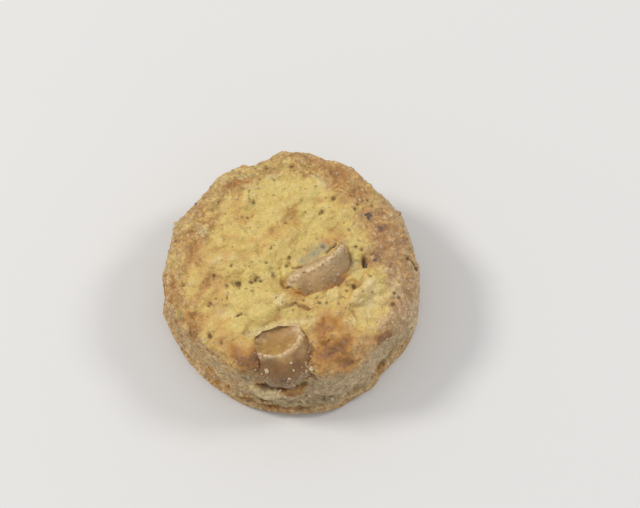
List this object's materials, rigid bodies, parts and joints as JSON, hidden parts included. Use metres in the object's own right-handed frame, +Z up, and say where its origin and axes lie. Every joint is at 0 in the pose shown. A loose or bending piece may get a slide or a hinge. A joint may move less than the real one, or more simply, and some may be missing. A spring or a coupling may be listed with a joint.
{
  "type": "hazelnut cookie",
  "caption": "Thick round shortcrust cookie with craggy pale top, browned rim and foot, and hazelnut kernels sunk in the top and the front edge.",
  "frame": {"origin": "middle of the bounding box in plan, on the flat underside", "axes": "+Z up out of the craggy top, -Y towards the edge where the larger kernel breaks through, +X to the right seen from there"},
  "size_m": [0.0518, 0.0524, 0.0209],
  "materials": {
    "dough": "baked dough, dry and crumbly, pale yellow with a browned rim",
    "kernel": "roasted hazelnut, smooth and slightly waxy"
  },
  "bodies": {
    "root": {"cookie_dough": "dough", "hazelnut_front": "kernel", "hazelnut_middle": "kernel"}
  },
  "joints": []
}
